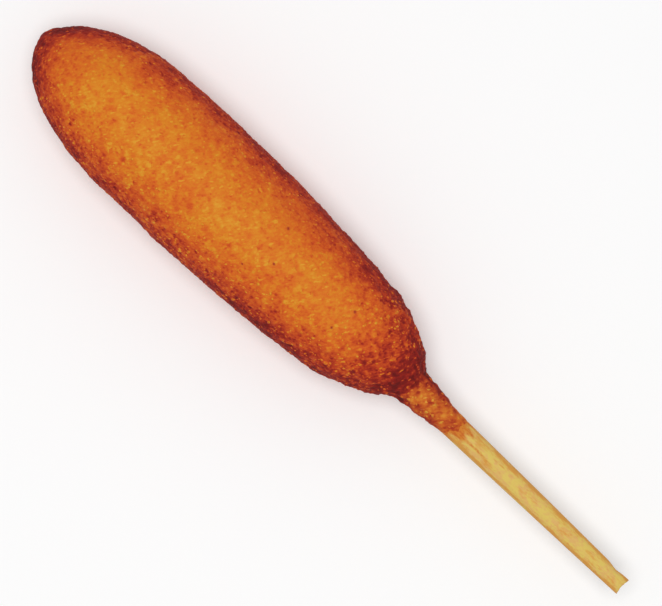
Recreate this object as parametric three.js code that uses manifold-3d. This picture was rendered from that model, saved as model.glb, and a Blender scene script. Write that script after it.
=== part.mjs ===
import * as THREE from 'three';
import { mergeVertices } from 'three/addons/utils/BufferGeometryUtils.js';
import Module from 'manifold-3d';

// A corn dog lying on its side: fried corn batter on a round wooden stick.
// Lengths are millimetres. +X runs from the rounded tip to the stick's free end, +Z is up.
// Places along the corn dog, written along, are counted from its tip.

const wasm = await Module();
wasm.setup();

// batter: rounded tip, slowly narrowing barrel, shoulder, then the collar on the stick
const fullRadius = 17.05;
const tipLength = 49;
const tipBulge = 3.4;
const tipRoundness = 1.56;
const barrelEnd = 102.2;
const barrelEndRadius = 14.2;
const barrelTaper = 2.3;
const neckAt = 121.7;
const neckRadius = 5.95;
const shoulderBulge = 1.5;
const shoulderRoundness = 1.2;
const collarStart = 124.5;
const collarRadius = 4.68;
const collarEnd = 132.8;
const lipRadius = 3.8;

// how far the middle of a section strays from the long axis, sideways and up
const tipStray = { y: -0.65, z: -0.3, from: 3, reach: 22 };
const shoulderStray = { y: 0.62, z: 0.35, from: 100, to: 119 };

// unevenness of the fried surface: size is the distance from lump to lump, and
// each kind grows or dies out between places along the batter
const swell = { size: 19, depth: 0.12, phase: 1, fadeFrom: 112 };
const dimple = { size: 7.5, depth: 0.09, phase: 5 };
const crag = { size: 4.4, depth: 0.24, phase: 11, from: 84, full: 112, lessFrom: 120, less: 0.5 };
const scallop = { size: 3, depth: 0.2, phase: 17, from: 119, full: 123, lessFrom: 130.8, less: 0.6 };
const smoothTipLength = 6;
const lumpWaves = 7;
const waveSpread = 0.06;
const goldenAngle = Math.PI * (3 - Math.sqrt(5));

// flattened underside that it lies on
const flatDepth = 0.7;

// stick: a round dowel that tapers towards its free end and leans a little to one side
const stickRadius = 3.17;
const stickEndRadius = 2.25;
const stickTaper = 1.2;
const stickEnd = 194.4;
const stickLength = 140;
const stickEndDish = 0.5;
const dishBend = { radius: 0.6, depth: 0.8 };
const stickLean = 0.0055;
const stickPivot = 76;
const stickGap = 0.25;

// divisions of the meshes, and how much closer the rings lie at the tip and at the neck
const batterSides = 56;
const ringsAlong = { tip: 15, barrel: 21, shoulder: 13, neck: 3, collar: 7 };
const tipCrowding = 2;
const neckCrowding = 1.35;
const stickSides = 28;
const stickRings = 10;
const mergeDistance = 1e-4;

const crustFinish = { color: 0xc46a24, roughness: 0.62, metalness: 0 };
const woodFinish = { color: 0xd9b466, roughness: 0.7, metalness: 0 };

const smooth = (value, low, high) => THREE.MathUtils.smoothstep(value, low, high);

// Crossing waves of nearly one length, running in directions spread over a sphere: about -1 to 1.
function lumps(point, { size, phase }) {
  let sum = 0;
  for (let wave = 0; wave < lumpWaves; wave++) {
    const turn = (wave + phase) * goldenAngle;
    const rise = 1 - (2 * wave + 1) / lumpWaves;
    const spread = Math.sqrt(1 - rise * rise);
    const travelled = point.x * spread * Math.cos(turn) + point.y * spread * Math.sin(turn) + point.z * rise;
    const waveLength = size * (1 + waveSpread * wave);
    sum += Math.sin((2 * Math.PI * travelled) / waveLength + turn * phase);
  }
  return (2 * sum) / lumpWaves;
}

// Radius of the batter before it is made uneven.
function batterRadius(along) {
  if (along < tipLength) {
    const back = 1 - along / tipLength;
    return fullRadius * (1 - back ** tipBulge) ** (1 / tipRoundness);
  }
  if (along < barrelEnd) {
    const share = (along - tipLength) / (barrelEnd - tipLength);
    return fullRadius - (fullRadius - barrelEndRadius) * share ** barrelTaper;
  }
  if (along < neckAt) {
    const share = (along - barrelEnd) / (neckAt - barrelEnd);
    const roundness = 1 / shoulderRoundness;
    return neckRadius + (barrelEndRadius - neckRadius) * (1 - share ** shoulderBulge) ** roundness;
  }
  const slope = (collarRadius - lipRadius) / (collarEnd - collarStart);
  const cone = collarRadius - slope * (along - collarStart);
  const short = Math.max(0, (collarStart - along) / (collarStart - neckAt));
  const fillet = neckRadius - (collarRadius + slope * (collarStart - neckAt));
  return cone + fillet * short * short;
}

function stickCentre(along) {
  return -stickLean * (along - stickPivot);
}

// Where the middle of a section of batter lies; the collar follows the stick.
function batterCentre(along) {
  const onStick = smooth(along, neckAt, collarStart);
  const tip = Math.exp(-along / tipStray.reach) * smooth(along, 0, tipStray.from);
  const shoulder = smooth(along, shoulderStray.from, shoulderStray.to) * (1 - onStick);
  return {
    y: tipStray.y * tip + shoulderStray.y * shoulder + stickCentre(along) * onStick,
    z: tipStray.z * tip + shoulderStray.z * shoulder,
  };
}

// Height of the unevenness at a point of the batter.
function batterRelief(point) {
  const along = point.x;
  const awayFromTip = smooth(along, 0, smoothTipLength);
  const cragged = smooth(along, crag.from, crag.full) * (1 - crag.less * smooth(along, crag.lessFrom, collarStart));
  const nearLip = smooth(along, scallop.lessFrom, collarEnd);
  const scalloped = smooth(along, scallop.from, scallop.full) * (1 - scallop.less * nearLip);
  const broad = swell.depth * lumps(point, swell) * (1 - smooth(along, swell.fadeFrom, collarStart));
  const fine = dimple.depth * lumps(point, dimple);
  const rough = crag.depth * cragged * lumps(point, crag) + scallop.depth * scalloped * lumps(point, scallop);
  return (broad + fine) * awayFromTip + rough;
}

// Places of the rings along the batter, closer where the outline turns quickly.
function batterRings() {
  const rings = [];
  for (let ring = 1; ring <= ringsAlong.tip; ring++) {
    rings.push(tipLength * (ring / ringsAlong.tip) ** tipCrowding);
  }
  for (let ring = 1; ring <= ringsAlong.barrel; ring++) {
    rings.push(THREE.MathUtils.lerp(tipLength, barrelEnd, ring / ringsAlong.barrel));
  }
  for (let ring = 1; ring <= ringsAlong.shoulder; ring++) {
    const left = 1 - ring / ringsAlong.shoulder;
    rings.push(THREE.MathUtils.lerp(barrelEnd, neckAt, 1 - left ** neckCrowding));
  }
  for (let ring = 1; ring <= ringsAlong.neck; ring++) {
    rings.push(THREE.MathUtils.lerp(neckAt, collarStart, ring / ringsAlong.neck));
  }
  for (let ring = 1; ring <= ringsAlong.collar; ring++) {
    rings.push(THREE.MathUtils.lerp(collarStart, collarEnd, ring / ringsAlong.collar));
  }
  return rings;
}

// A lathed profile of (radius, along) points, turned so that its axis is X.
function latheAlongX(profile, sides) {
  const turned = new THREE.LatheGeometry(profile, sides);
  turned.rotateZ(-Math.PI / 2);
  turned.deleteAttribute('normal');
  turned.deleteAttribute('uv');
  return mergeVertices(turned, mergeDistance);
}

// Closed solid of a geometry; triangles that a pole has folded to nothing are dropped.
function toSolid(geometry) {
  const corners = geometry.index.array;
  const kept = [];
  for (let first = 0; first < corners.length; first += 3) {
    const [a, b, c] = corners.slice(first, first + 3);
    if (a !== b && b !== c && c !== a) kept.push(a, b, c);
  }
  return new wasm.Manifold(new wasm.Mesh({
    numProp: 3,
    vertProperties: new Float32Array(geometry.attributes.position.array),
    triVerts: new Uint32Array(kept),
  }));
}

function toGeometry(solid) {
  const mesh = solid.getMesh();
  const geometry = new THREE.BufferGeometry();
  geometry.setAttribute('position', new THREE.BufferAttribute(mesh.vertProperties, 3));
  geometry.setIndex(new THREE.BufferAttribute(mesh.triVerts, 1));
  geometry.computeVertexNormals();
  return geometry;
}

function movePoints(geometry, moved) {
  const positions = geometry.attributes.position;
  const point = new THREE.Vector3();
  for (let corner = 0; corner < positions.count; corner++) {
    moved(point.fromBufferAttribute(positions, corner));
    positions.setXYZ(corner, point.x, point.y, point.z);
  }
}

function stickRadiusAt(along) {
  const share = Math.max(0, (along - collarEnd) / (stickEnd - collarEnd));
  return stickRadius - (stickRadius - stickEndRadius) * share ** stickTaper;
}

// Stick lying along X; grow makes the larger one that cuts its socket.
function stickGeometry(grow) {
  const start = stickEnd - stickLength - grow;
  const profile = [new THREE.Vector2(0, start)];
  for (let ring = 0; ring <= stickRings; ring++) {
    const along = ring ? THREE.MathUtils.lerp(collarEnd, stickEnd, (ring - 1) / (stickRings - 1)) : start;
    profile.push(new THREE.Vector2(stickRadiusAt(along) + grow, along));
  }
  profile.push(new THREE.Vector2(stickEndRadius * dishBend.radius, stickEnd - stickEndDish * dishBend.depth));
  profile.push(new THREE.Vector2(0, stickEnd - stickEndDish));
  const geometry = latheAlongX(profile, stickSides);
  movePoints(geometry, (point) => {
    point.y += stickCentre(point.x);
  });
  return geometry;
}

function batterGeometry() {
  const profile = [new THREE.Vector2(0, 0)];
  for (const along of batterRings()) profile.push(new THREE.Vector2(batterRadius(along), along));
  profile.push(new THREE.Vector2(0, collarEnd));
  const geometry = latheAlongX(profile, batterSides);
  movePoints(geometry, (point) => {
    const radius = Math.hypot(point.y, point.z);
    const raised = radius > 0 ? 1 + batterRelief(point) / radius : 1;
    const centre = batterCentre(point.x);
    point.set(point.x, point.y * raised + centre.y, point.z * raised + centre.z);
  });
  return geometry;
}

// Block under the corn dog whose top is the plane that the underside is cut to.
function floorGeometry() {
  const block = new THREE.BoxGeometry(2 * stickEnd, 4 * fullRadius, fullRadius);
  block.translate(0, 0, -(fullRadius - flatDepth) - fullRadius / 2);
  block.deleteAttribute('normal');
  block.deleteAttribute('uv');
  return mergeVertices(block, mergeDistance);
}

function piece(name, geometry, finish) {
  const mesh = new THREE.Mesh(geometry, new THREE.MeshStandardMaterial(finish));
  mesh.name = name;
  return mesh;
}

const socket = toSolid(stickGeometry(stickGap));
const floorBlock = toSolid(floorGeometry());
const batterSolid = toSolid(batterGeometry()).subtract(socket).subtract(floorBlock);

const cornDog = new THREE.Group();
cornDog.add(piece('batter', toGeometry(batterSolid), crustFinish));
cornDog.add(piece('stick', stickGeometry(0), woodFinish));

// The origin is under the middle of the corn dog, on the plane that it lies on.
const box = new THREE.Box3().setFromObject(cornDog, true);
const middle = box.getCenter(new THREE.Vector3());
cornDog.position.set(-middle.x, -middle.y, -box.min.z);
cornDog.updateMatrixWorld(true);

export default cornDog;
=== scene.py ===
import math
import random

import bmesh
import bpy
from mathutils import Matrix, Vector, noise
from mathutils.bvhtree import BVHTree
from mathutils.kdtree import KDTree


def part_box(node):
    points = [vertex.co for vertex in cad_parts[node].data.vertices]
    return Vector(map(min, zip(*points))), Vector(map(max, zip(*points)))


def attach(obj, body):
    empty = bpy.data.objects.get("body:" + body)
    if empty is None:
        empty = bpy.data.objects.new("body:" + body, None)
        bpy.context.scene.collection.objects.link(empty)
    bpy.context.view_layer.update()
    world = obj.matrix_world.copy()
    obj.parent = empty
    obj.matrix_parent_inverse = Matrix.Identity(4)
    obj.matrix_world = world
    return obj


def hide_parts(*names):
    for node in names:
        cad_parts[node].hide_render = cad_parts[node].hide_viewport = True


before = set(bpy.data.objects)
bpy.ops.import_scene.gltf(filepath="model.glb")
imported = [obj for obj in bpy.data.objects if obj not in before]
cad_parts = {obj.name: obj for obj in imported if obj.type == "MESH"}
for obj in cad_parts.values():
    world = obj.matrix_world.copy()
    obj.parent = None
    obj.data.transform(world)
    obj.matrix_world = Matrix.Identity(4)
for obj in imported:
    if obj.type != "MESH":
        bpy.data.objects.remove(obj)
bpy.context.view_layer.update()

# A fried corn dog on its wooden stick, lying on its side and seen from straight above.
# Sizes are millimetres and are made metres as they reach a mesh. "along" is counted from the tip.
mm = 0.001
mergeDistance = 0.001

batter = {
    "fullRadius": 17.05,
    "tipLength": 49,
    "tipBulge": 3.4,
    "tipRoundness": 1.56,
    "barrelEnd": 102.2,
    "barrelEndRadius": 14.2,
    "barrelTaper": 2.3,
    "neckAt": 121.7,
    "neckRadius": 5.95,
    "shoulderBulge": 1.5,
    "shoulderRoundness": 1.2,
    "collarStart": 124.5,
    "collarRadius": 4.68,
    "collarEnd": 132.8,
    "lipRadius": 3.8,
    "tipStray": (-0.65, -0.3),
    "tipStrayFrom": 3,
    "tipStrayReach": 22,
    "shoulderStray": (0.62, 0.35),
    "shoulderStrayFrom": 100,
    "shoulderStrayTo": 119,
    "flatDepth": 0.7,
}

stick = {
    "radius": 3.17,
    "endRadius": 2.25,
    "taper": 1.2,
    "start": 54.4,
    "end": 194.4,
    "lean": 0.0055,
    "pivot": 76,
    "gap": 0.25,
}

# broad unevenness, the same in the frame's solid: size is the distance from lump to lump,
# and each kind grows or dies out between places along the batter
unevenness = {
    "swell": {"size": 19, "depth": 0.12, "phase": 1, "fadeFrom": 112},
    "dimple": {"size": 7.5, "depth": 0.09, "phase": 5},
    "crag": {"size": 4.4, "depth": 0.24, "phase": 11, "along": (84, 112), "lessFrom": 120, "less": 0.5},
    "scallop": {"size": 3, "depth": 0.2, "phase": 17, "along": (119, 123), "lessFrom": 130.8, "less": 0.6},
    "smoothTip": 6,
    "waves": 7,
    "waveSpread": 0.06,
}

# fine relief of the fried surface, finer than the solid holds
relief = {
    "peel": {"size": 2.7, "depth": 0.11},
    "cobble": {"size": 1.4, "depth": 0.13, "flankDepth": 0.26, "underBeads": 0.5},
    "nub": {"size": 1.25, "depth": 0.3, "along": (92, 114), "gone": (121, 124)},
    "bead": {"size": 1.7, "depth": 0.44, "along": (119, 123), "lessAlong": (131, 136), "less": 0.3},
    "roughTip": (2, 16),
    "sunk": 0.05,
    "fullyRaised": 4.5,
}

# how close the rings and sides of the crust's mesh lie, and how its flat underside is blended in
crustMesh = {
    "barrelGap": 0.55,
    "shoulderGap": 0.36,
    "collarGap": 0.25,
    "shoulderFrom": (86, 94),
    "collarFrom": 120.7,
    "stride": 0.004,
    "sides": 250,
    "overFloor": (0.05, 1.2),
}

# what the crust's material reads from its mesh and from the grains
crustLayers = ("browning", "raised", "pitAway", "craggy", "collar")

# where the axis lies in the frame
axisHeight = batter["fullRadius"] - batter["flatDepth"]
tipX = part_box("batter")[0].x
axisZ = axisHeight * mm
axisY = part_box("stick")[1].y - (stick["radius"] - stick["lean"] * (stick["start"] - stick["pivot"])) * mm


def smooth(value, low, high):
    share = min(1.0, max(0.0, (value - low) / (high - low)))
    return share * share * (3 - 2 * share)


def blend(a, b, share):
    return a + (b - a) * share


def turnOf(place):
    # 0 on top, 1 underneath
    return abs(math.atan2(place.y, place.z)) / math.pi


def lumps(place, size, phase, **_):
    # crossing waves of nearly one length, about -1 to 1
    waves = unevenness["waves"]
    golden = math.pi * (3 - math.sqrt(5))
    total = 0.0
    for wave in range(waves):
        turn = (wave + phase) * golden
        rise = 1 - (2 * wave + 1) / waves
        spread = math.sqrt(1 - rise * rise)
        travelled = place.x * spread * math.cos(turn) + place.y * spread * math.sin(turn) + place.z * rise
        waveLength = size * (1 + unevenness["waveSpread"] * wave)
        total += math.sin(2 * math.pi * travelled / waveLength + turn * phase)
    return 2 * total / waves


def stickCentre(along):
    return -stick["lean"] * (along - stick["pivot"])


def stickRadius(along):
    share = max(0.0, (along - batter["collarEnd"]) / (stick["end"] - batter["collarEnd"]))
    return stick["radius"] - (stick["radius"] - stick["endRadius"]) * share ** stick["taper"]


def batterRadius(along):
    b = batter
    if along < b["tipLength"]:
        back = 1 - along / b["tipLength"]
        return b["fullRadius"] * (1 - back ** b["tipBulge"]) ** (1 / b["tipRoundness"])
    if along < b["barrelEnd"]:
        share = (along - b["tipLength"]) / (b["barrelEnd"] - b["tipLength"])
        return blend(b["fullRadius"], b["barrelEndRadius"], share ** b["barrelTaper"])
    if along < b["neckAt"]:
        share = (along - b["barrelEnd"]) / (b["neckAt"] - b["barrelEnd"])
        fullness = (1 - share ** b["shoulderBulge"]) ** (1 / b["shoulderRoundness"])
        return blend(b["neckRadius"], b["barrelEndRadius"], fullness)
    slope = (b["collarRadius"] - b["lipRadius"]) / (b["collarEnd"] - b["collarStart"])
    cone = b["collarRadius"] - slope * (along - b["collarStart"])
    short = max(0.0, (b["collarStart"] - along) / (b["collarStart"] - b["neckAt"]))
    fillet = b["neckRadius"] - (b["collarRadius"] + slope * (b["collarStart"] - b["neckAt"]))
    return cone + fillet * short * short


def batterCentre(along):
    b = batter
    tip = math.exp(-along / b["tipStrayReach"]) * smooth(along, 0, b["tipStrayFrom"])
    onStick = smooth(along, b["neckAt"], b["collarStart"])
    shoulder = smooth(along, b["shoulderStrayFrom"], b["shoulderStrayTo"]) * (1 - onStick)
    sideways = b["tipStray"][0] * tip + b["shoulderStray"][0] * shoulder + stickCentre(along) * onStick
    return sideways, b["tipStray"][1] * tip + b["shoulderStray"][1] * shoulder


def broadRelief(place):
    along = place.x
    swell, dimple, crag, scallop = (unevenness[kind] for kind in ("swell", "dimple", "crag", "scallop"))
    awayFromTip = smooth(along, 0, unevenness["smoothTip"])
    swelling = 1 - smooth(along, swell["fadeFrom"], batter["collarStart"])
    cragged = 1 - crag["less"] * smooth(along, crag["lessFrom"], batter["collarStart"])
    cragged *= smooth(along, *crag["along"])
    scalloped = 1 - scallop["less"] * smooth(along, scallop["lessFrom"], batter["collarEnd"])
    scalloped *= smooth(along, *scallop["along"])
    broad = swell["depth"] * lumps(place, **swell) * swelling + dimple["depth"] * lumps(place, **dimple)
    rough = crag["depth"] * cragged * lumps(place, **crag)
    rough += scallop["depth"] * scalloped * lumps(place, **scallop)
    return broad * awayFromTip + rough


def inFrame(place):
    # millimetres from the tip on the long axis to metres in the frame
    return Vector((tipX + place.x * mm, axisY + place.y * mm, axisZ + place.z * mm))


class Wire:
    # a socket of a material's node tree, so that shader maths reads as plain maths
    def __init__(self, finish, socket):
        self.finish = finish
        self.socket = socket

    def join(self, operation, first, second):
        return self.finish.node("ShaderNodeMath", {"operation": operation}, {0: first, 1: second})

    def __add__(self, other):
        return self.join("ADD", self, other)

    def __radd__(self, other):
        return self.join("ADD", other, self)

    def __sub__(self, other):
        return self.join("SUBTRACT", self, other)

    def __rsub__(self, other):
        return self.join("SUBTRACT", other, self)

    def __mul__(self, other):
        return self.join("MULTIPLY", self, other)

    def __rmul__(self, other):
        return self.join("MULTIPLY", other, self)


class Finish:
    # one material: its shader, its output and the nodes that feed them
    def __init__(self, name, shader):
        self.material = bpy.data.materials.new(name)
        self.material.use_nodes = True
        self.tree = self.material.node_tree
        self.shader = self.tree.nodes["Principled BSDF"]
        for socket, value in shader.items():
            self.shader.inputs[socket].default_value = value

    def node(self, kind, settings=None, sockets=None, out=0):
        made = self.tree.nodes.new(kind)
        for setting, value in (settings or {}).items():
            if setting == "stops":
                self.setStops(made.color_ramp, value)
            else:
                setattr(made, setting, value)
        for socket, value in (sockets or {}).items():
            self.feed(made.inputs[socket], value)
        return Wire(self, made.outputs[out])

    def setStops(self, ramp, stops):
        while len(ramp.elements) < len(stops):
            ramp.elements.new(1.0)
        for element, (place, colour) in zip(ramp.elements, stops):
            element.position = place
            element.color = (*colour, 1)

    def feed(self, socket, value):
        if isinstance(value, Wire):
            self.tree.links.new(value.socket, socket)
        elif socket.type == "RGBA":
            socket.default_value = (*value, 1)
        else:
            socket.default_value = value

    def wear(self, socket, wire):
        self.tree.links.new(wire.socket, self.shader.inputs[socket])

    def places(self, stretch=(1, 1, 1), turn=0):
        # object coordinates in millimetres, drawn out along axes turned about Z
        where = self.node("ShaderNodeTexCoord", out="Object")
        sockets = {"Vector": where, "Rotation": (0, 0, turn), "Scale": [factor * mm for factor in stretch]}
        return self.node("ShaderNodeMapping", {"vector_type": "TEXTURE"}, sockets)

    def noise(self, where, size, detail=2.0, roughness=0.5, out="Fac"):
        sockets = {"Vector": where, "Scale": 1 / size, "Detail": detail, "Roughness": roughness}
        return self.node("ShaderNodeTexNoise", {}, sockets, out)

    def crumbs(self, where, size, middle=0.12, edge=0.62):
        # a round patch in every cell, some above 0 and some below, gone at the cell's edge
        sockets = {"Vector": where, "Scale": 1 / size}
        away = self.node("ShaderNodeTexVoronoi", {}, sockets, "Distance")
        draw = away.socket.node.outputs["Color"]
        lot = self.node("ShaderNodeSeparateColor", {}, {"Color": Wire(self, draw)})
        return (lot - 0.5) * self.step(away, edge, middle)

    def shifted(self, where, wander, reach):
        # places moved about by a noise's colour
        less = {"operation": "SUBTRACT"}
        centred = self.node("ShaderNodeVectorMath", less, {0: wander, 1: (0.5, 0.5, 0.5)})
        more = {"operation": "MULTIPLY_ADD"}
        return self.node("ShaderNodeVectorMath", more, {0: centred, 1: (reach, reach, reach), 2: where})

    def attribute(self, name):
        return self.node("ShaderNodeAttribute", {"attribute_name": name}, out="Fac")

    def step(self, value, low, high, toLow=0.0, toHigh=1.0):
        sockets = {"Value": value, "From Min": low, "From Max": high, "To Min": toLow, "To Max": toHigh}
        return self.node("ShaderNodeMapRange", {"interpolation_type": "SMOOTHSTEP"}, sockets)

    def mix(self, share, under, over):
        return self.node("ShaderNodeMix", {"data_type": "RGBA"}, {0: share, 6: under, 7: over}, out=2)

    def ramp(self, value, stops, last):
        # the stops' places and the value run from 0 to last
        shares = [(place / last, colour) for place, colour in stops]
        return self.node("ShaderNodeValToRGB", {"stops": shares}, {"Fac": value * (1 / last)})

    def bump(self, height, depth, under=None):
        sockets = {"Height": height, "Distance": depth * mm, "Strength": 1.0}
        if under:
            sockets["Normal"] = under
        return self.node("ShaderNodeBump", {}, sockets)


crustFinish = {
    "body": [
        (0.0, (0.70, 0.305, 0.028)),
        (0.2, (0.68, 0.222, 0.018)),
        (0.4, (0.66, 0.145, 0.017)),
        (0.6, (0.59, 0.088, 0.016)),
        (0.8, (0.44, 0.042, 0.015)),
        (1.0, (0.27, 0.018, 0.013)),
        (1.3, (0.15, 0.012, 0.011)),
    ],
    # the collar's ramp is a shaded copy of the body's colours, less red for its brightness: painted shade on
    # the thin collar
    "collar": [
        (0.0, (0.68, 0.340, 0.045)),
        (0.3, (0.64, 0.195, 0.024)),
        (0.55, (0.54, 0.105, 0.018)),
        (0.8, (0.39, 0.043, 0.015)),
        (1.0, (0.23, 0.018, 0.013)),
        (1.3, (0.12, 0.012, 0.011)),
    ],
    "darkest": 1.3,
    "pit": {"colour": (0.35, 0.036, 0.018), "middle": 0.2, "edge": 1.2},
    "blotch": {"size": 6.5, "share": 0.36, "craggyShare": 0.26},
    "mottle": {"size": 2.0, "share": 0.47, "craggyShare": 0.22},
    "grain": {"size": 0.45, "share": 0.26},
    # painted light and shade of small drawn-out marks
    "strokeLightAndShade": {"size": 0.5, "share": 0.29, "craggyShare": 0.26},
    "crumb": {"size": 0.95, "share": 0.42, "craggyShare": 0.12},
    "clump": {"size": 1.9, "share": 0.28, "craggyShare": 0.5},
    "fleck": {"size": 0.75, "rare": 0.14, "full": 0.46, "share": 0.32, "craggyShare": 0.36},
    "drawnOut": {"stretch": 2.9, "turn": 55},
    # painted highlight on raised bumps and painted shade in the creases between them
    "raised": {"share": 0.04, "craggyShare": 0.1, "collarShare": 0.18},
    "collarEven": {"broad": 0.5, "fine": 0.25},
    "bend": {"size": 1.2, "reach": 0.9},
    "bump": {"broad": 0.2, "fine": 0.12},
    "roughness": (0.5, 0.72),
    "shader": {"Roughness": 0.62, "Specular IOR Level": 0.05},
}


def crustMaterial():
    c = crustFinish
    f = Finish("friedCrust", c["shader"])
    where = f.places()
    bend = f.noise(where, c["bend"]["size"], detail=1, out="Color")
    bent = f.shifted(where, bend, c["bend"]["reach"])
    drawn = f.places((c["drawnOut"]["stretch"], 1, 1), math.radians(c["drawnOut"]["turn"]))
    drawnOut = f.shifted(drawn, bend, c["bend"]["reach"])
    craggy = f.attribute("craggy")
    collar = f.attribute("collar")
    blotch = f.noise(where, c["blotch"]["size"]) - 0.5
    mottle = f.noise(where, c["mottle"]["size"], roughness=0.6) - 0.5
    grain = f.noise(where, c["grain"]["size"], roughness=0.6) - 0.5
    # diagonal strokes painted lighter and darker: painted light and shade of small drawn-out marks
    strokeLightAndShade = f.noise(drawn, c["strokeLightAndShade"]["size"], detail=1) - 0.5
    crumb = f.crumbs(bent, c["crumb"]["size"])
    clump = f.crumbs(bent, c["clump"]["size"])
    fleck = f.step(f.crumbs(drawnOut, c["fleck"]["size"]), c["fleck"]["rare"], c["fleck"]["full"])

    def shareOf(kind):
        # how much the kind changes the browning and its painted shade, more or less where the crust is
        # craggy
        return c[kind]["share"] + c[kind]["craggyShare"] * craggy

    broad = blotch * shareOf("blotch") + mottle * shareOf("mottle")
    broad = broad * (1 - c["collarEven"]["broad"] * collar)
    fine = grain * c["grain"]["share"] + strokeLightAndShade * shareOf("strokeLightAndShade")
    fine = fine - crumb * shareOf("crumb") - clump * shareOf("clump")
    # raised bumps are painted lighter and the creases between them darker, painted highlight and shade along
    # the relief; the flecks are pale cornmeal
    reliefHighlightShare = shareOf("raised") + c["raised"]["collarShare"] * collar
    reliefHighlightAndFlecks = f.attribute("raised") * reliefHighlightShare + fleck * shareOf("fleck")
    shadedBrowning = f.attribute("browning") + broad
    shadedBrowning = shadedBrowning + (fine - reliefHighlightAndFlecks) * (1 - c["collarEven"]["fine"] * collar)
    bodyColour = f.ramp(shadedBrowning, c["body"], c["darkest"])
    colour = f.mix(collar, bodyColour, f.ramp(shadedBrowning, c["collar"], c["darkest"]))
    inPit = f.step(f.attribute("pitAway"), c["pit"]["edge"], c["pit"]["middle"])
    f.wear("Base Color", f.mix(inPit, colour, c["pit"]["colour"]))
    f.wear("Roughness", f.step(shadedBrowning, 0.0, 1.0, *c["roughness"]))
    f.wear("Normal", f.bump(crumb + clump + grain, c["bump"]["fine"], f.bump(mottle, c["bump"]["broad"])))
    return f.material


woodFinish = {
    "yellow": (0.70, 0.515, 0.120),
    "tan": (0.70, 0.42, 0.135),
    "deep": (0.66, 0.310, 0.060),
    "stain": (0.62, 0.205, 0.026),
    "deepStain": (0.55, 0.135, 0.020),
    "blotch": {"size": 1.5, "stretch": 1.7},
    "patch": {"size": 1.5, "stretch": 3},
    "fleck": {"size": 0.45, "stretch": 1.8},
    "fibre": {"size": 0.28, "stretch": 16},
    "tanned": {"fleck": 0.6, "from": -0.12, "full": 0.16},
    "deepened": {"fibre": 0.5, "fleck": 0.4, "side": 0.36, "from": -0.02, "full": 0.34},
    "stained": {"uneven": 0.8, "from": 0.1, "full": 0.9},
    "deepStained": {"from": -0.12, "full": 0.2},
    "roughness": {"from": -0.3, "full": 0.3, "values": (0.72, 0.55)},
    "bump": {"fleck": 0.5, "depth": 0.1},
    "shader": {"Roughness": 0.65, "Specular IOR Level": 0.1},
}


def woodMaterial():
    w = woodFinish
    f = Finish("paleWood", w["shader"])

    def alongGrain(kind, roughness=0.5):
        # a noise drawn out along the stick, about -0.5 to 0.5
        where = f.places((w[kind]["stretch"], 1, 1))
        return f.noise(where, w[kind]["size"], roughness=roughness) - 0.5

    def over(value, kind, *between):
        return f.step(value, w[kind]["from"], w[kind]["full"], *between)

    blotches, patches, flecks = alongGrain("blotch"), alongGrain("patch"), alongGrain("fleck")
    fibres = alongGrain("fibre", 0.6)
    colour = f.mix(over(blotches + flecks * w["tanned"]["fleck"], "tanned"), w["yellow"], w["tan"])
    deep = w["deepened"]
    # the side layer deepens the colour with painted shade along the edges and underneath, besides the grain
    # streaks and the end grain
    deepened = patches + fibres * deep["fibre"] + flecks * deep["fleck"] + f.attribute("side") * deep["side"]
    colour = f.mix(over(deepened, "deepened"), colour, w["deep"])
    stain = f.attribute("stain")
    soaked = over(stain + (blotches + flecks) * w["stained"]["uneven"] * stain, "stained")
    stainColour = f.mix(over(patches + flecks, "deepStained"), w["stain"], w["deepStain"])
    f.wear("Base Color", f.mix(soaked, colour, stainColour))
    f.wear("Roughness", over(fibres, "roughness", *w["roughness"]["values"]))
    f.wear("Normal", f.bump(fibres + flecks * w["bump"]["fleck"], w["bump"]["depth"]))
    return f.material


def finished(name, bm, material, nodes=()):
    # the bmesh as a piece of the corn dog that rides on its body
    mesh = bpy.data.meshes.new(name)
    bm.to_mesh(mesh)
    bm.free()
    mesh.shade_smooth()
    mesh.materials.append(material)
    piece = bpy.data.objects.new(name, mesh)
    bpy.context.scene.collection.objects.link(piece)
    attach(piece, "root")
    if nodes:
        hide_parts(*nodes)
    print(name, "triangles", sum(len(face.vertices) - 2 for face in mesh.polygons))
    return piece


# thin film of crust that runs on along the wood past the collar, out to a ragged edge
film = {
    "end": 141.8,
    "edge": 139.2,
    "ragged": {"reach": 1.6, "size": 2.2, "draw": 7.3},
    "edgeSlant": 0.35,
    "edgeDip": (-1.2, 0.5),
    "thickness": 0.5,
    "thinned": 0.6,
    "roughness": 0.6,
    "sunk": 0.35,
    "sunkAtEdge": 0.7,
    "lipBefore": 1,
    "lipAfter": 1.8,
    "settledAfter": 2,
}

# the way back inside the batter, along the stick
socketWall = {
    "mouthBefore": 1.5,
    "step": 0.5,
    "middle": 90,
}

pits = {
    "shown": [(76.3, 6.8), (74.3, -6.9), (79.7, -1.6), (101.1, 3.1), (99.9, -3.1), (88.1, -12.6)],
    "scattered": 34,
    "scatteredAlong": (10, 118),
    "clearOfTop": 0.9,
    "small": 0.4,
    "large": 0.6,
    "depth": 0.1,
    "middle": 0.2,
    "edge": 1.7,
    "farAway": 3.0,
    "seed": 31,
}


def ringGap(along):
    m = crustMesh
    if along > m["collarFrom"]:
        return m["collarGap"]
    return blend(m["barrelGap"], m["shoulderGap"], smooth(along, *m["shoulderFrom"]))


def crustOutline():
    # points of the outside one gap apart, from the tip to the thin film on the stick
    points = [(0.0, 0.0)]
    travelled, along, radius = 0.0, 0.0, 0.0
    while along < film["end"]:
        along += crustMesh["stride"]
        last, radius = radius, outerRadius(along)
        travelled += math.hypot(crustMesh["stride"], radius - last)
        if travelled >= ringGap(along):
            points.append((along, radius))
            travelled = 0.0
    return points


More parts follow.
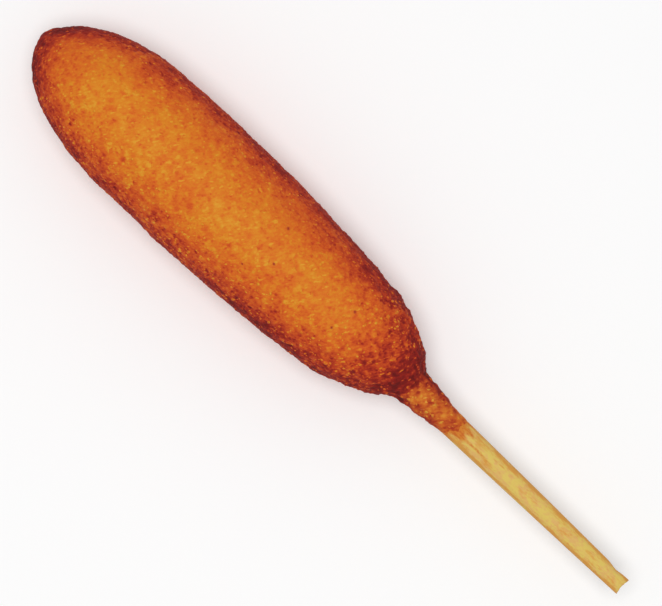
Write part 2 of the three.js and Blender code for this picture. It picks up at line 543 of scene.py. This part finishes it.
def outerRadius(along):
    lip = batter["collarEnd"] - film["lipBefore"]
    if along < lip:
        return batterRadius(along)
    skin = stickRadius(along) + film["thickness"] / 2
    return blend(batterRadius(lip), skin, smooth(along, lip, batter["collarEnd"] + film["lipAfter"]))


def socketOutline():
    # under the film, then the wall of the stick's socket to its blind end
    inside = stick["radius"] - film["sunk"]
    wall = stick["radius"] + stick["gap"]
    mouth = batter["collarEnd"] - socketWall["mouthBefore"]
    blind = stick["start"] - stick["gap"]
    points = [(film["end"], inside), (mouth, inside), (mouth - socketWall["step"], wall)]
    return points + [(socketWall["middle"], wall), (blind, wall), (blind, 0)]


def cobbles(place, size):
    # rounded domes with creases between them, about -0.5 to 0.5
    return 0.5 - noise.voronoi(place / size)[0][0]


# where the crust is rough: turns are counted from the top, 1 is underneath, and front is the side towards -Y
crags = {
    "flank": {"turn": (0.12, 0.38), "wander": 0.06, "size": 8},
    "shoulder": {"along": (94, 115), "wander": 2.5, "size": 8},
    "front": (-4, 12),
    "tip": (2, 10),
    "shares": {"flank": 0.25, "frontFlank": 0.65, "front": 0.5, "tip": 0.4},
}


def flank(place):
    # 0 on the golden top, 1 where the side turns under
    z = crags["flank"]
    return smooth(turnOf(place) + z["wander"] * noise.noise(place / z["size"]), *z["turn"])


def cragginess(place):
    # smooth on top of the barrel, rough at the shoulder and the collar, a little on the flanks
    z, shares = crags["shoulder"], crags["shares"]
    shoulder = smooth(place.x + z["wander"] * noise.noise(place / z["size"]), *z["along"])
    front = smooth(-place.y, *crags["front"])
    tip = 1 - smooth(place.x, *crags["tip"])
    side = (shares["flank"] + shares["frontFlank"] * front) * flank(place)
    return max(shoulder, side, shares["front"] * front, shares["tip"] * tip)


def fineRelief(place):
    along = place.x
    peel, cobble, nub, bead = (relief[kind] for kind in ("peel", "cobble", "nub", "bead"))
    nubby = smooth(along, *nub["along"]) * (1 - smooth(along, *nub["gone"]))
    beaded = smooth(along, *bead["along"]) * (1 - bead["less"] * smooth(along, *bead["lessAlong"]))
    rough = max(flank(place), 1 - smooth(along, *relief["roughTip"]))
    peeled = peel["depth"] * noise.noise(place / peel["size"])
    cobbled = (cobble["depth"] + cobble["flankDepth"] * rough) * cobbles(place, cobble["size"])
    nubs = nub["depth"] * nubby * cobbles(place, nub["size"])
    beads = bead["depth"] * beaded * cobbles(place, bead["size"])
    return peeled + cobbled * (1 - cobble["underBeads"] * beaded) + nubs + beads


def plantPits(bm):
    # the few dark pits on the top and more scattered round the sides, each on a vertex and with its radius
    draws = random.Random(pits["seed"])
    places = []
    for along, sideways in pits["shown"]:
        radius = batterRadius(along)
        places.append(Vector((along, sideways, math.sqrt(radius * radius - sideways * sideways))))
    for _ in range(pits["scattered"]):
        along = draws.uniform(*pits["scatteredAlong"])
        turn = draws.uniform(pits["clearOfTop"], 2 * math.pi - pits["clearOfTop"])
        radius = batterRadius(along)
        places.append(Vector((along, radius * math.sin(turn), radius * math.cos(turn))))
    verts = treeOf([vert.co for vert in bm.verts])
    tree = treeOf([verts.find(place)[0] for place in places])
    return tree, [draws.uniform(pits["small"], pits["large"]) for _ in places]


def treeOf(places):
    tree = KDTree(len(places))
    for index, place in enumerate(places):
        tree.insert(place, index)
    tree.balance()
    return tree


# how brown each zone has fried, from 0 golden to 1 dark red-brown, with painted shade in it too: the side,
# edge, tipEnd and collar side terms paint the flanks, the rim seen from above and the tip's end darker,
# partly real browning and partly painted shade, and the underside lighter again
frying = {
    "golden": 0.27,
    "side": {"share": 0.52, "turn": (0.08, 0.42), "shoulderTurn": 0.04, "atPole": 0.35, "radius": (1, 9)},
    "rear": {"share": 0.3, "along": (74, 95)},
    "edge": {"share": 0.13, "frontShare": 0.17, "atTip": 0.2, "turn": (0.3, 0.42), "gone": (0.43, 0.6)},
    "flank": {"less": 0.14, "turn": (0.43, 0.6)},
    "under": {"less": 0.34, "turn": (0.58, 0.9)},
    "tipEnd": {"share": 0.4, "along": (3.2, 10), "ragged": 20},
    "tip": {"share": 0.18, "along": (8, 22), "flankLess": 0.55, "sideLess": 0.3},
    "shoulder": {"level": 0.93, "flankLevel": 0.84, "along": (95.5, 120), "ragged": 30, "share": 0.94},
    "neck": {"share": 0.16, "along": (114, 120)},
    "collar": {"level": 0.46, "side": 0.35, "along": (122.2, 125.8), "sideLater": 1, "ragged": 1.5},
    "collarLook": (121.5, 125),
    "onWood": {"sideLess": 0.46, "more": 0.06, "along": (131.8, 136.8), "ragged": 30},
    "wander": [(9, 0.05), (3.5, 0.03)],
    "lowerWander": {"size": 15, "share": 0.16, "turn": (0.38, 0.5)},
}

# a patch is left out from this many squared reaches on
patchesFade = 6

# browner patches on the top, and lighter ones below zero: place along and sideways, reach, how much browner
patches = [
    (7, -1, 2.5, -0.06),
    (9.5, 5.5, 3.5, 0.05),
    (8.5, -6.5, 4, 0.07),
    (30, 0, 4, -0.04),
    (34.8, -6.5, 4, -0.05),
    (45.5, 1, 5, 0.06),
    (51, -9, 4, 0.08),
    (40, 9, 5, -0.12),
    (49, 12, 4, 0.07),
    (54.5, 10, 4, 0.05),
    (64, -3, 3, -0.05),
    (73.6, -4.5, 5, 0.05),
    (76, 6.5, 4, 0.05),
    (82, -7.5, 6, 0.15),
    (84, 6, 5, 0.07),
    (87.5, -7.5, 5, 0.03),
    (94, 7.5, 5, 0.08),
    (93, 10.5, 3, -0.07),
    (104, 0, 6, 0.03),
    (110.3, -6, 2.2, -0.12),
    (111.3, 3.6, 1.7, 0.16),
    (115, -0.6, 1.8, -0.13),
    (119.4, -3.4, 1.7, 0.05),
    (121.3, 0, 1, 0.14),
    (122.3, -3.5, 1.3, -0.12),
    (124.4, -2.6, 1.6, 0.16),
    (128.5, -2.1, 0.9, 0.22),
    (128.6, 1, 0.8, 0.2),
    (129.6, -0.6, 1, 0.26),
    (130.4, 2, 1.1, -0.18),
    (134.4, 0, 0.9, -0.2),
    (134.9, 2.1, 1.1, 0.15),
    (136.4, 0.2, 1, 0.3),
    (136.2, -2.2, 0.7, 0.16),
    (138.3, 1.7, 0.8, 0.2),
]


def patched(place):
    if place.z < 0:
        return 0.0
    total = 0.0
    for along, sideways, reach, share in patches:
        away = ((place.x - along) ** 2 + (place.y - sideways) ** 2) / reach ** 2
        if away < patchesFade:
            total += share * math.exp(-away)
    return total


def browning(place):
    z = frying
    along = place.x
    wander = sum(share * noise.noise(place / size) for size, share in z["wander"])
    turn = turnOf(place) + wander
    offPole = smooth(math.hypot(place.y, place.z), *z["side"]["radius"])
    lowerWander = z["lowerWander"]["share"] * noise.noise(place / z["lowerWander"]["size"])
    lower = turn + lowerWander * smooth(turn, *z["lowerWander"]["turn"])
    flanked = smooth(lower, *z["flank"]["turn"]) * offPole
    # the side term is partly real browning and partly painted shade: darker where the surface turns away
    # from the top, and less so again underneath
    first, full = z["side"]["turn"]
    side = smooth(turn, first - z["side"]["shoulderTurn"] * smooth(along, *z["rear"]["along"]), full)
    side *= 1 - z["flank"]["less"] * flanked - z["under"]["less"] * smooth(lower, *z["under"]["turn"])
    side *= 1 + z["rear"]["share"] * smooth(along, *z["rear"]["along"])
    if along < batter["tipLength"]:
        side = blend(z["side"]["atPole"], side, offPole)
    # the edge term is painted shade: a darker band along the rim seen from above
    edge = z["edge"]["frontShare"] if place.y < 0 else z["edge"]["share"]
    edge *= blend(z["edge"]["atTip"], 1, smooth(along, *z["tip"]["along"]))
    edge *= smooth(turn, *z["edge"]["turn"]) * (1 - smooth(lower, *z["edge"]["gone"]))
    # the tipEnd term darkens the tip's end, partly real browning and partly painted shade where the surface
    # turns away
    tip = z["tipEnd"]["share"] * (1 - smooth(along + z["tipEnd"]["ragged"] * wander, *z["tipEnd"]["along"]))
    tip += z["tip"]["share"] * (1 - smooth(along, *z["tip"]["along"])) * (1 + side)
    tip *= 1 - z["tip"]["flankLess"] * flanked
    body = z["golden"] + z["side"]["share"] * side + edge + tip * (1 - z["tip"]["sideLess"] * side)
    shoulder = smooth(along + z["shoulder"]["ragged"] * wander, *z["shoulder"]["along"])
    level = blend(z["shoulder"]["level"], z["shoulder"]["flankLevel"], flanked)
    level += z["neck"]["share"] * smooth(along, *z["neck"]["along"])
    body = blend(body, level, shoulder * z["shoulder"]["share"])
    collar = smooth(along - z["collar"]["sideLater"] * side, *z["collar"]["along"])
    wooded = smooth(along + z["onWood"]["ragged"] * wander, *z["onWood"]["along"])
    # the collar's side term paints its flanks darker, partly painted shade
    thin = z["collar"]["level"] + (z["collar"]["side"] - z["onWood"]["sideLess"] * wooded) * side
    thin += z["onWood"]["more"] * wooded + z["collar"]["ragged"] * wander
    return blend(body, thin, collar) + patched(place)


def spunOutline(points, sides, outsidePoints=0):
    # (along, radius) points spun about the long axis into a closed skin, the first of them marked as outside
    bm = bmesh.new()
    outside = bm.verts.layers.float.new("outside") if outsidePoints else None
    last = None
    for number, (along, radius) in enumerate(points):
        vert = bm.verts.new((along, 0, radius))
        if outside:
            vert[outside] = 1.0 if number < outsidePoints else 0.0
        if last:
            bm.edges.new((last, vert))
        last = vert
    turn = {"cent": (0, 0, 0), "axis": (1, 0, 0), "angle": 2 * math.pi, "steps": sides}
    bmesh.ops.spin(bm, geom=bm.verts[:] + bm.edges[:], use_merge=True, **turn)
    bmesh.ops.remove_doubles(bm, verts=bm.verts, dist=mergeDistance)
    bmesh.ops.recalc_face_normals(bm, faces=bm.faces)
    sortFaces(bm)
    return bm


def sortFaces(bm):
    # a spin leaves its faces in another order each run, so they are put in that of their vertices
    bm.verts.index_update()
    count = len(bm.verts)

    def order(face):
        first, second, third = sorted(vert.index for vert in face.verts)[:3]
        return (first * count + second) * count + third

    bm.faces.sort(key=order)


def makeCrust():
    outline = crustOutline()
    bm = spunOutline(outline + socketOutline(), crustMesh["sides"], len(outline))
    layers = {name: bm.verts.layers.float.new(name) for name in crustLayers}
    outside = bm.verts.layers.float["outside"]
    shapeCrust(bm, outside)
    bm.normal_update()
    tree, pitSizes = plantPits(bm)
    floor = -axisHeight
    lowest, clear = crustMesh["overFloor"]
    for vert in bm.verts:
        place = vert.co.copy()
        if vert[outside] < 0.5:
            vert.co = inFrame(place)
            continue
        fine = fineRelief(place)
        _, index, away = tree.find(place)
        pitAway = min(pits["farAway"], away / pitSizes[index])
        dip = pits["depth"] * (1 - smooth(pitAway, pits["middle"], pits["edge"]))
        lying = smooth(place.z, floor + lowest, floor + clear)
        moved = place + vert.normal * (fine - dip - relief["sunk"]) * lying
        if place.x > batter["collarEnd"]:
            moved = onStick(moved, place)
        moved.z = max(moved.z, floor)
        vert[layers["browning"]] = browning(place)
        vert[layers["raised"]] = max(-1.0, min(1.0, fine * relief["fullyRaised"]))
        vert[layers["craggy"]] = cragginess(place)
        vert[layers["collar"]] = smooth(place.x, *frying["collarLook"])
        vert[layers["pitAway"]] = pitAway
        vert.co = inFrame(moved)
    return finished("friedCrust", bm, crustMaterial(), ["batter"])


def shapeCrust(bm, outside):
    # broad unevenness, the strays of the centre line and the flattened underside
    for vert in bm.verts:
        along = vert.co.x
        radius = math.hypot(vert.co.y, vert.co.z)
        grow = 1.0
        if vert[outside] > 0.5:
            sideways, upwards = batterCentre(along)
            if radius > 0:
                grow += broadRelief(vert.co) * (1 - smooth(along, batter["collarEnd"], film["end"])) / radius
        else:
            sideways, upwards = stickCentre(along), 0.0
        vert.co.y = vert.co.y * grow + sideways
        vert.co.z = max(vert.co.z * grow + upwards, -axisHeight)


def onStick(moved, place):
    # past the lip the crust thins out to a ragged edge that dips under the wood
    centre = stickCentre(place.x)
    out = Vector((0, place.y - centre, place.z))
    radius = out.length
    lip = batter["collarEnd"]
    draw = Vector((film["ragged"]["draw"], out.y / film["ragged"]["size"], out.z / film["ragged"]["size"]))
    edge = film["edge"] + film["ragged"]["reach"] * noise.noise(draw) + film["edgeSlant"] * out.y
    gone = smooth(place.x, edge + film["edgeDip"][0], edge + film["edgeDip"][1])
    height = film["roughness"] * (moved - place).dot(out / radius)
    thickness = film["thickness"] * (1 - film["thinned"] * smooth(place.x, lip, edge))
    skin = stickRadius(place.x) + thickness / 2 + height
    lifted = blend(radius + height, skin, smooth(place.x, lip, lip + film["settledAfter"]))
    lifted = blend(lifted, stickRadius(place.x) - film["sunk"] * film["sunkAtEdge"], gone)
    return Vector((place.x, centre, 0)) + out / radius * lifted


grains = {
    "tries": 4200,
    "along": (0.5, 135),
    "small": 0.3,
    "large": 0.66,
    "mostlySmall": 1.5,
    "width": (0.5, 0.9),
    "height": (0.3, 0.48),
    "sunk": 0.2,
    "lighter": (0.06, 0.44),
    "collarLess": 0.4,
    "turn": 55,
    "turnSpread": 0.6,
    "fewerUnderRadius": 12,
    "dropFrom": 30,
    "clearOfFloor": 0.4,
    "seed": 12,
}

# how likely a grain is kept; turns run from the top, below zero towards the front
grainZones = {
    "rear": {"share": 0.3, "turn": (0.14, 0.3), "lowShare": 0.5, "low": (0.42, 0.55)},
    "front": {"share": 0.58, "turn": (0.06, 0.28)},
    "shoulder": {"share": 0.55, "along": (90, 108)},
    "collar": {"less": 0.4, "along": (120, 126)},
    "shoulderRear": {"less": 0.45, "turn": (0.08, 0.26), "gone": (0.45, 0.6)},
    "tip": {"share": 0.6, "along": (2, 8)},
}


def grainShare(along, turn):
    # few on the golden top, many at the shoulder and on the flanks, above all on the front one
    z = grainZones
    rear = blend(z["rear"]["share"], z["rear"]["lowShare"], smooth(turn, *z["rear"]["low"]))
    front = z["front"]["share"] * smooth(-turn, *z["front"]["turn"])
    side = max(smooth(turn, *z["rear"]["turn"]) * rear, front)
    shoulder = z["shoulder"]["share"] * smooth(along, *z["shoulder"]["along"])
    shoulder *= 1 - z["collar"]["less"] * smooth(along, *z["collar"]["along"])
    less = z["shoulderRear"]["less"] * smooth(turn, *z["shoulderRear"]["turn"])
    shoulder *= 1 - less * (1 - smooth(turn, *z["shoulderRear"]["gone"]))
    tip = z["tip"]["share"] * (1 - smooth(along, *z["tip"]["along"]))
    return min(1.0, side + shoulder + tip)


def grainSeed():
    # a small rounded grain with the crust's own layers
    bm = bmesh.new()
    bmesh.ops.create_icosphere(bm, subdivisions=1, radius=1.0)
    mesh = bpy.data.meshes.new("grain")
    bm.to_mesh(mesh)
    bm.free()
    for name in crustLayers:
        mesh.attributes.new(name, "FLOAT", "POINT")
    return mesh


def makeGrains(crust):
    g = grains
    draws = random.Random(g["seed"])
    surface = BVHTree.FromObject(crust, bpy.context.evaluated_depsgraph_get())
    grain = grainSeed()
    corners = len(grain.vertices)
    bm = bmesh.new()
    for _ in range(g["tries"]):
        along = draws.uniform(*g["along"])
        turn = draws.uniform(-1, 1)
        size = blend(g["small"], g["large"], draws.random() ** g["mostlySmall"])
        width = size * draws.uniform(*g["width"])
        shape = Matrix.Diagonal((size, width, size * draws.uniform(*g["height"]), 1))
        spin = Matrix.Rotation(draws.gauss(math.radians(g["turn"]), g["turnSpread"]), 4, "Z")
        shade = draws.random()
        likely = grainShare(along, turn) * min(1, batterRadius(along) / g["fewerUnderRadius"])
        if draws.random() >= likely:
            continue
        outwards = Vector((0, math.sin(turn * math.pi), math.cos(turn * math.pi)))
        start = inFrame(Vector((along, 0, 0)) + outwards * g["dropFrom"])
        hit, normal, _, _ = surface.ray_cast(start, -outwards)
        if hit is None or hit.z < g["clearOfFloor"] * mm:
            continue
        side = normal.cross(Vector((1, 0, 0))).normalized()
        stand = Matrix((side.cross(normal), side, normal)).transposed().to_4x4()
        lift = Matrix.Translation(hit - normal * size * g["sunk"] * mm)
        matrix = lift @ stand @ spin @ Matrix.Diagonal((mm, mm, mm, 1)) @ shape
        place = Vector((along, 0, 0)) + outwards * batterRadius(along)
        onCollar = smooth(along, *frying["collarLook"])
        layers = {
            "browning": browning(place) - blend(*g["lighter"], shade) * (1 - g["collarLess"] * onCollar),
            "craggy": cragginess(place),
            "collar": onCollar,
            "raised": 1.0,
            "pitAway": pits["farAway"],
        }
        for name, value in layers.items():
            grain.attributes[name].data.foreach_set("value", [value] * corners)
        grain.transform(matrix)
        bm.from_mesh(grain)
        grain.transform(matrix.inverted())
    return finished("cornmealGrains", bm, crust.data.materials[0], [])


stickDetail = {
    "sides": 64,
    "ringLength": 0.8,
    "shownFrom": 126,
    "chamfer": 0.2,
    "lastRing": 0.1,
    "endRings": (0.96, 0.8, 0.6, 0.4, 0.2, 0),
    "endFace": 0.05,
    "endGrain": 0.95,
    "fibre": {"length": 30, "width": 0.7, "depth": 0.05, "clearOfAxis": 0.1},
    "notch": {"depth": 0.62, "length": 2},
    "burr": {"depth": 0.3, "across": 0.45, "upwards": 0.8, "draw": 3},
    "nick": {"along": 190.2, "length": 1.7, "depth": 0.35},
    "stain": {"end": (139.8, 145), "slant": 0.35, "sidesSooner": 3, "sides": (0.1, 0.35)},
    "stainRagged": {"reach": 3.5, "length": 5, "width": 1.6},
    "streak": {"sideways": -0.5, "width": 0.4, "end": 163, "share": 0.7},
    # the grain entry paints shade too: darker along both edges seen from above and browner underneath, with
    # real streaks of darker grain
    "grain": {
        "length": 22,
        "width": 1.4,
        "share": 0.8,
        "uneven": 1.2,
        "edgeTurn": (0.15, 0.36),
        "streaked": (-0.1, 0.45),
        "least": 0.5,
        "beyond": (0.36, 0.48),
    },
}


def stickOutline():
    s = stickDetail
    start, radius = stick["start"], stick["radius"]
    points = [(start, 0), (start, radius - s["chamfer"]), (start + s["chamfer"], radius)]
    rings = int((stick["end"] - s["shownFrom"]) / s["ringLength"])
    for ring in range(rings + 1):
        along = blend(s["shownFrom"], stick["end"] - s["lastRing"], ring / rings)
        points.append((along, stickRadius(along)))
    for share in s["endRings"]:
        points.append((stick["end"], stick["endRadius"] * share))
    return points


def woodNoise(place, kind):
    # noise drawn out along the stick
    return noise.noise(Vector((place.x / kind["length"], place.y / kind["width"], place.z / kind["width"])))


def wearStick(place):
    # fibres along the wood, a worn nick near the end and an end cut hollow between two burred corners
    fibre, nick, notch, burr = (stickDetail[kind] for kind in ("fibre", "nick", "notch", "burr"))
    radius = math.hypot(place.y, place.z)
    if radius > fibre["clearOfAxis"]:
        grow = 1 + fibre["depth"] * woodNoise(place, fibre) / radius
        place.y *= grow
        place.z *= grow
    worn = nick["depth"] * math.exp(-(((place.x - nick["along"]) / nick["length"]) ** 2))
    place.y -= worn * max(0.0, place.y / stick["endRadius"]) ** 2
    atEnd = smooth(place.x, stick["end"] - notch["length"], stick["end"])
    across = min(1.0, abs(place.y) / stick["endRadius"])
    draw = Vector((burr["draw"], place.y / burr["across"], place.z / burr["upwards"]))
    place.x -= atEnd * (notch["depth"] * (1 - across ** 2) + burr["depth"] * abs(noise.noise(draw)))
    return place


def paintedShadeAndGrain(place):
    # painted shade: darker along both edges seen from above and browner round the underside, broken up by
    # long streaks of darker grain
    g = stickDetail["grain"]
    turn = turnOf(place)
    streaks = woodNoise(place, g)
    edges = smooth(turn, *g["edgeTurn"]) * (g["share"] + g["uneven"] * streaks)
    beyond = g["least"] + (1 - g["least"]) * smooth(streaks, *g["streaked"])
    return blend(edges, beyond, smooth(turn, *g["beyond"]))


def stickStain(place):
    # frying oil drawn into the wood past the crust, furthest along one streak
    stain, ragged, streak = (stickDetail[kind] for kind in ("stain", "stainRagged", "streak"))
    reach = ragged["reach"] * woodNoise(place, ragged)
    sooner = stain["sidesSooner"] * smooth(turnOf(place), *stain["sides"])
    soaked = 1 - smooth(place.x + reach + sooner - stain["slant"] * place.y, *stain["end"])
    beside = (place.y - streak["sideways"]) / streak["width"]
    streaked = math.exp(-beside * beside) * (1 - smooth(place.x, stain["end"][0], streak["end"]))
    return max(soaked, streak["share"] * streaked)


def makeStick():
    bm = spunOutline(stickOutline(), stickDetail["sides"])
    layers = {name: bm.verts.layers.float.new(name) for name in ("stain", "side")}
    for vert in bm.verts:
        onEnd = vert.co.x > stick["end"] - stickDetail["endFace"]
        place = wearStick(vert.co.copy())
        vert[layers["stain"]] = stickStain(place)
        # the side layer holds the painted edge and underside shade with the grain streaks, and the real
        # darker end grain on the cut face
        vert[layers["side"]] = stickDetail["endGrain"] if onEnd else paintedShadeAndGrain(place)
        place.y += stickCentre(place.x)
        vert.co = inFrame(place)
    return finished("woodStick", bm, woodMaterial(), ["stick"])


view = {
    "roll": 43.35,
    "pixelsPerMillimetre": 4.126,
    "width": 662,
    "lens": 135,
    "sensor": 36,
    "lookAt": (-1.5, 0.9),
}


def makeCamera():
    cameraData = bpy.data.cameras.new("camera")
    cameraData.lens = view["lens"]
    cameraData.sensor_width = view["sensor"]
    shownWidth = view["width"] / view["pixelsPerMillimetre"] * mm
    away = shownWidth * view["lens"] / view["sensor"]
    camera = bpy.data.objects.new("camera", cameraData)
    camera.location = (view["lookAt"][0] * mm, axisY + view["lookAt"][1] * mm, axisZ + away)
    camera.rotation_euler = (0, 0, math.radians(view["roll"]))
    bpy.context.scene.collection.objects.link(camera)
    bpy.context.scene.camera = camera
    print("camera", camera.location[:])


# in metres and watts
lights = {
    "key": {"place": (-0.02, -0.03, 0.95), "size": 0.5, "power": 4.8},
    "world": (0.5, 0.5, 0.5),
}


def makeLights():
    key = bpy.data.lights.new("keyLight", "AREA")
    key.shape = "DISK"
    key.size = lights["key"]["size"]
    key.energy = lights["key"]["power"]
    lamp = bpy.data.objects.new("keyLight", key)
    lamp.location = lights["key"]["place"]
    lamp.rotation_euler = Vector(lights["key"]["place"]).to_track_quat("Z", "Y").to_euler()
    lamp.visible_camera = False
    bpy.context.scene.collection.objects.link(lamp)
    world = bpy.data.worlds.new("studio")
    world.use_nodes = True
    world.node_tree.nodes["Background"].inputs["Color"].default_value = (*lights["world"], 1)
    bpy.context.scene.world = world
    print("lights")


paleFloor = {
    "size": 3,
    "shader": {"Base Color": (0.98, 0.98, 0.98, 1), "Roughness": 0.8, "Specular IOR Level": 0.1},
}


def makeFloor():
    bm = bmesh.new()
    bmesh.ops.create_grid(bm, x_segments=1, y_segments=1, size=paleFloor["size"])
    mesh = bpy.data.meshes.new("floor")
    bm.to_mesh(mesh)
    bm.free()
    mesh.materials.append(Finish("paleFloor", paleFloor["shader"]).material)
    floor = bpy.data.objects.new("floor", mesh)
    bpy.context.scene.collection.objects.link(floor)
    print("floor")


makeCamera()
makeLights()
makeFloor()
crust = makeCrust()
makeGrains(crust)
makeStick()
bpy.context.scene.view_settings.view_transform = "Standard"
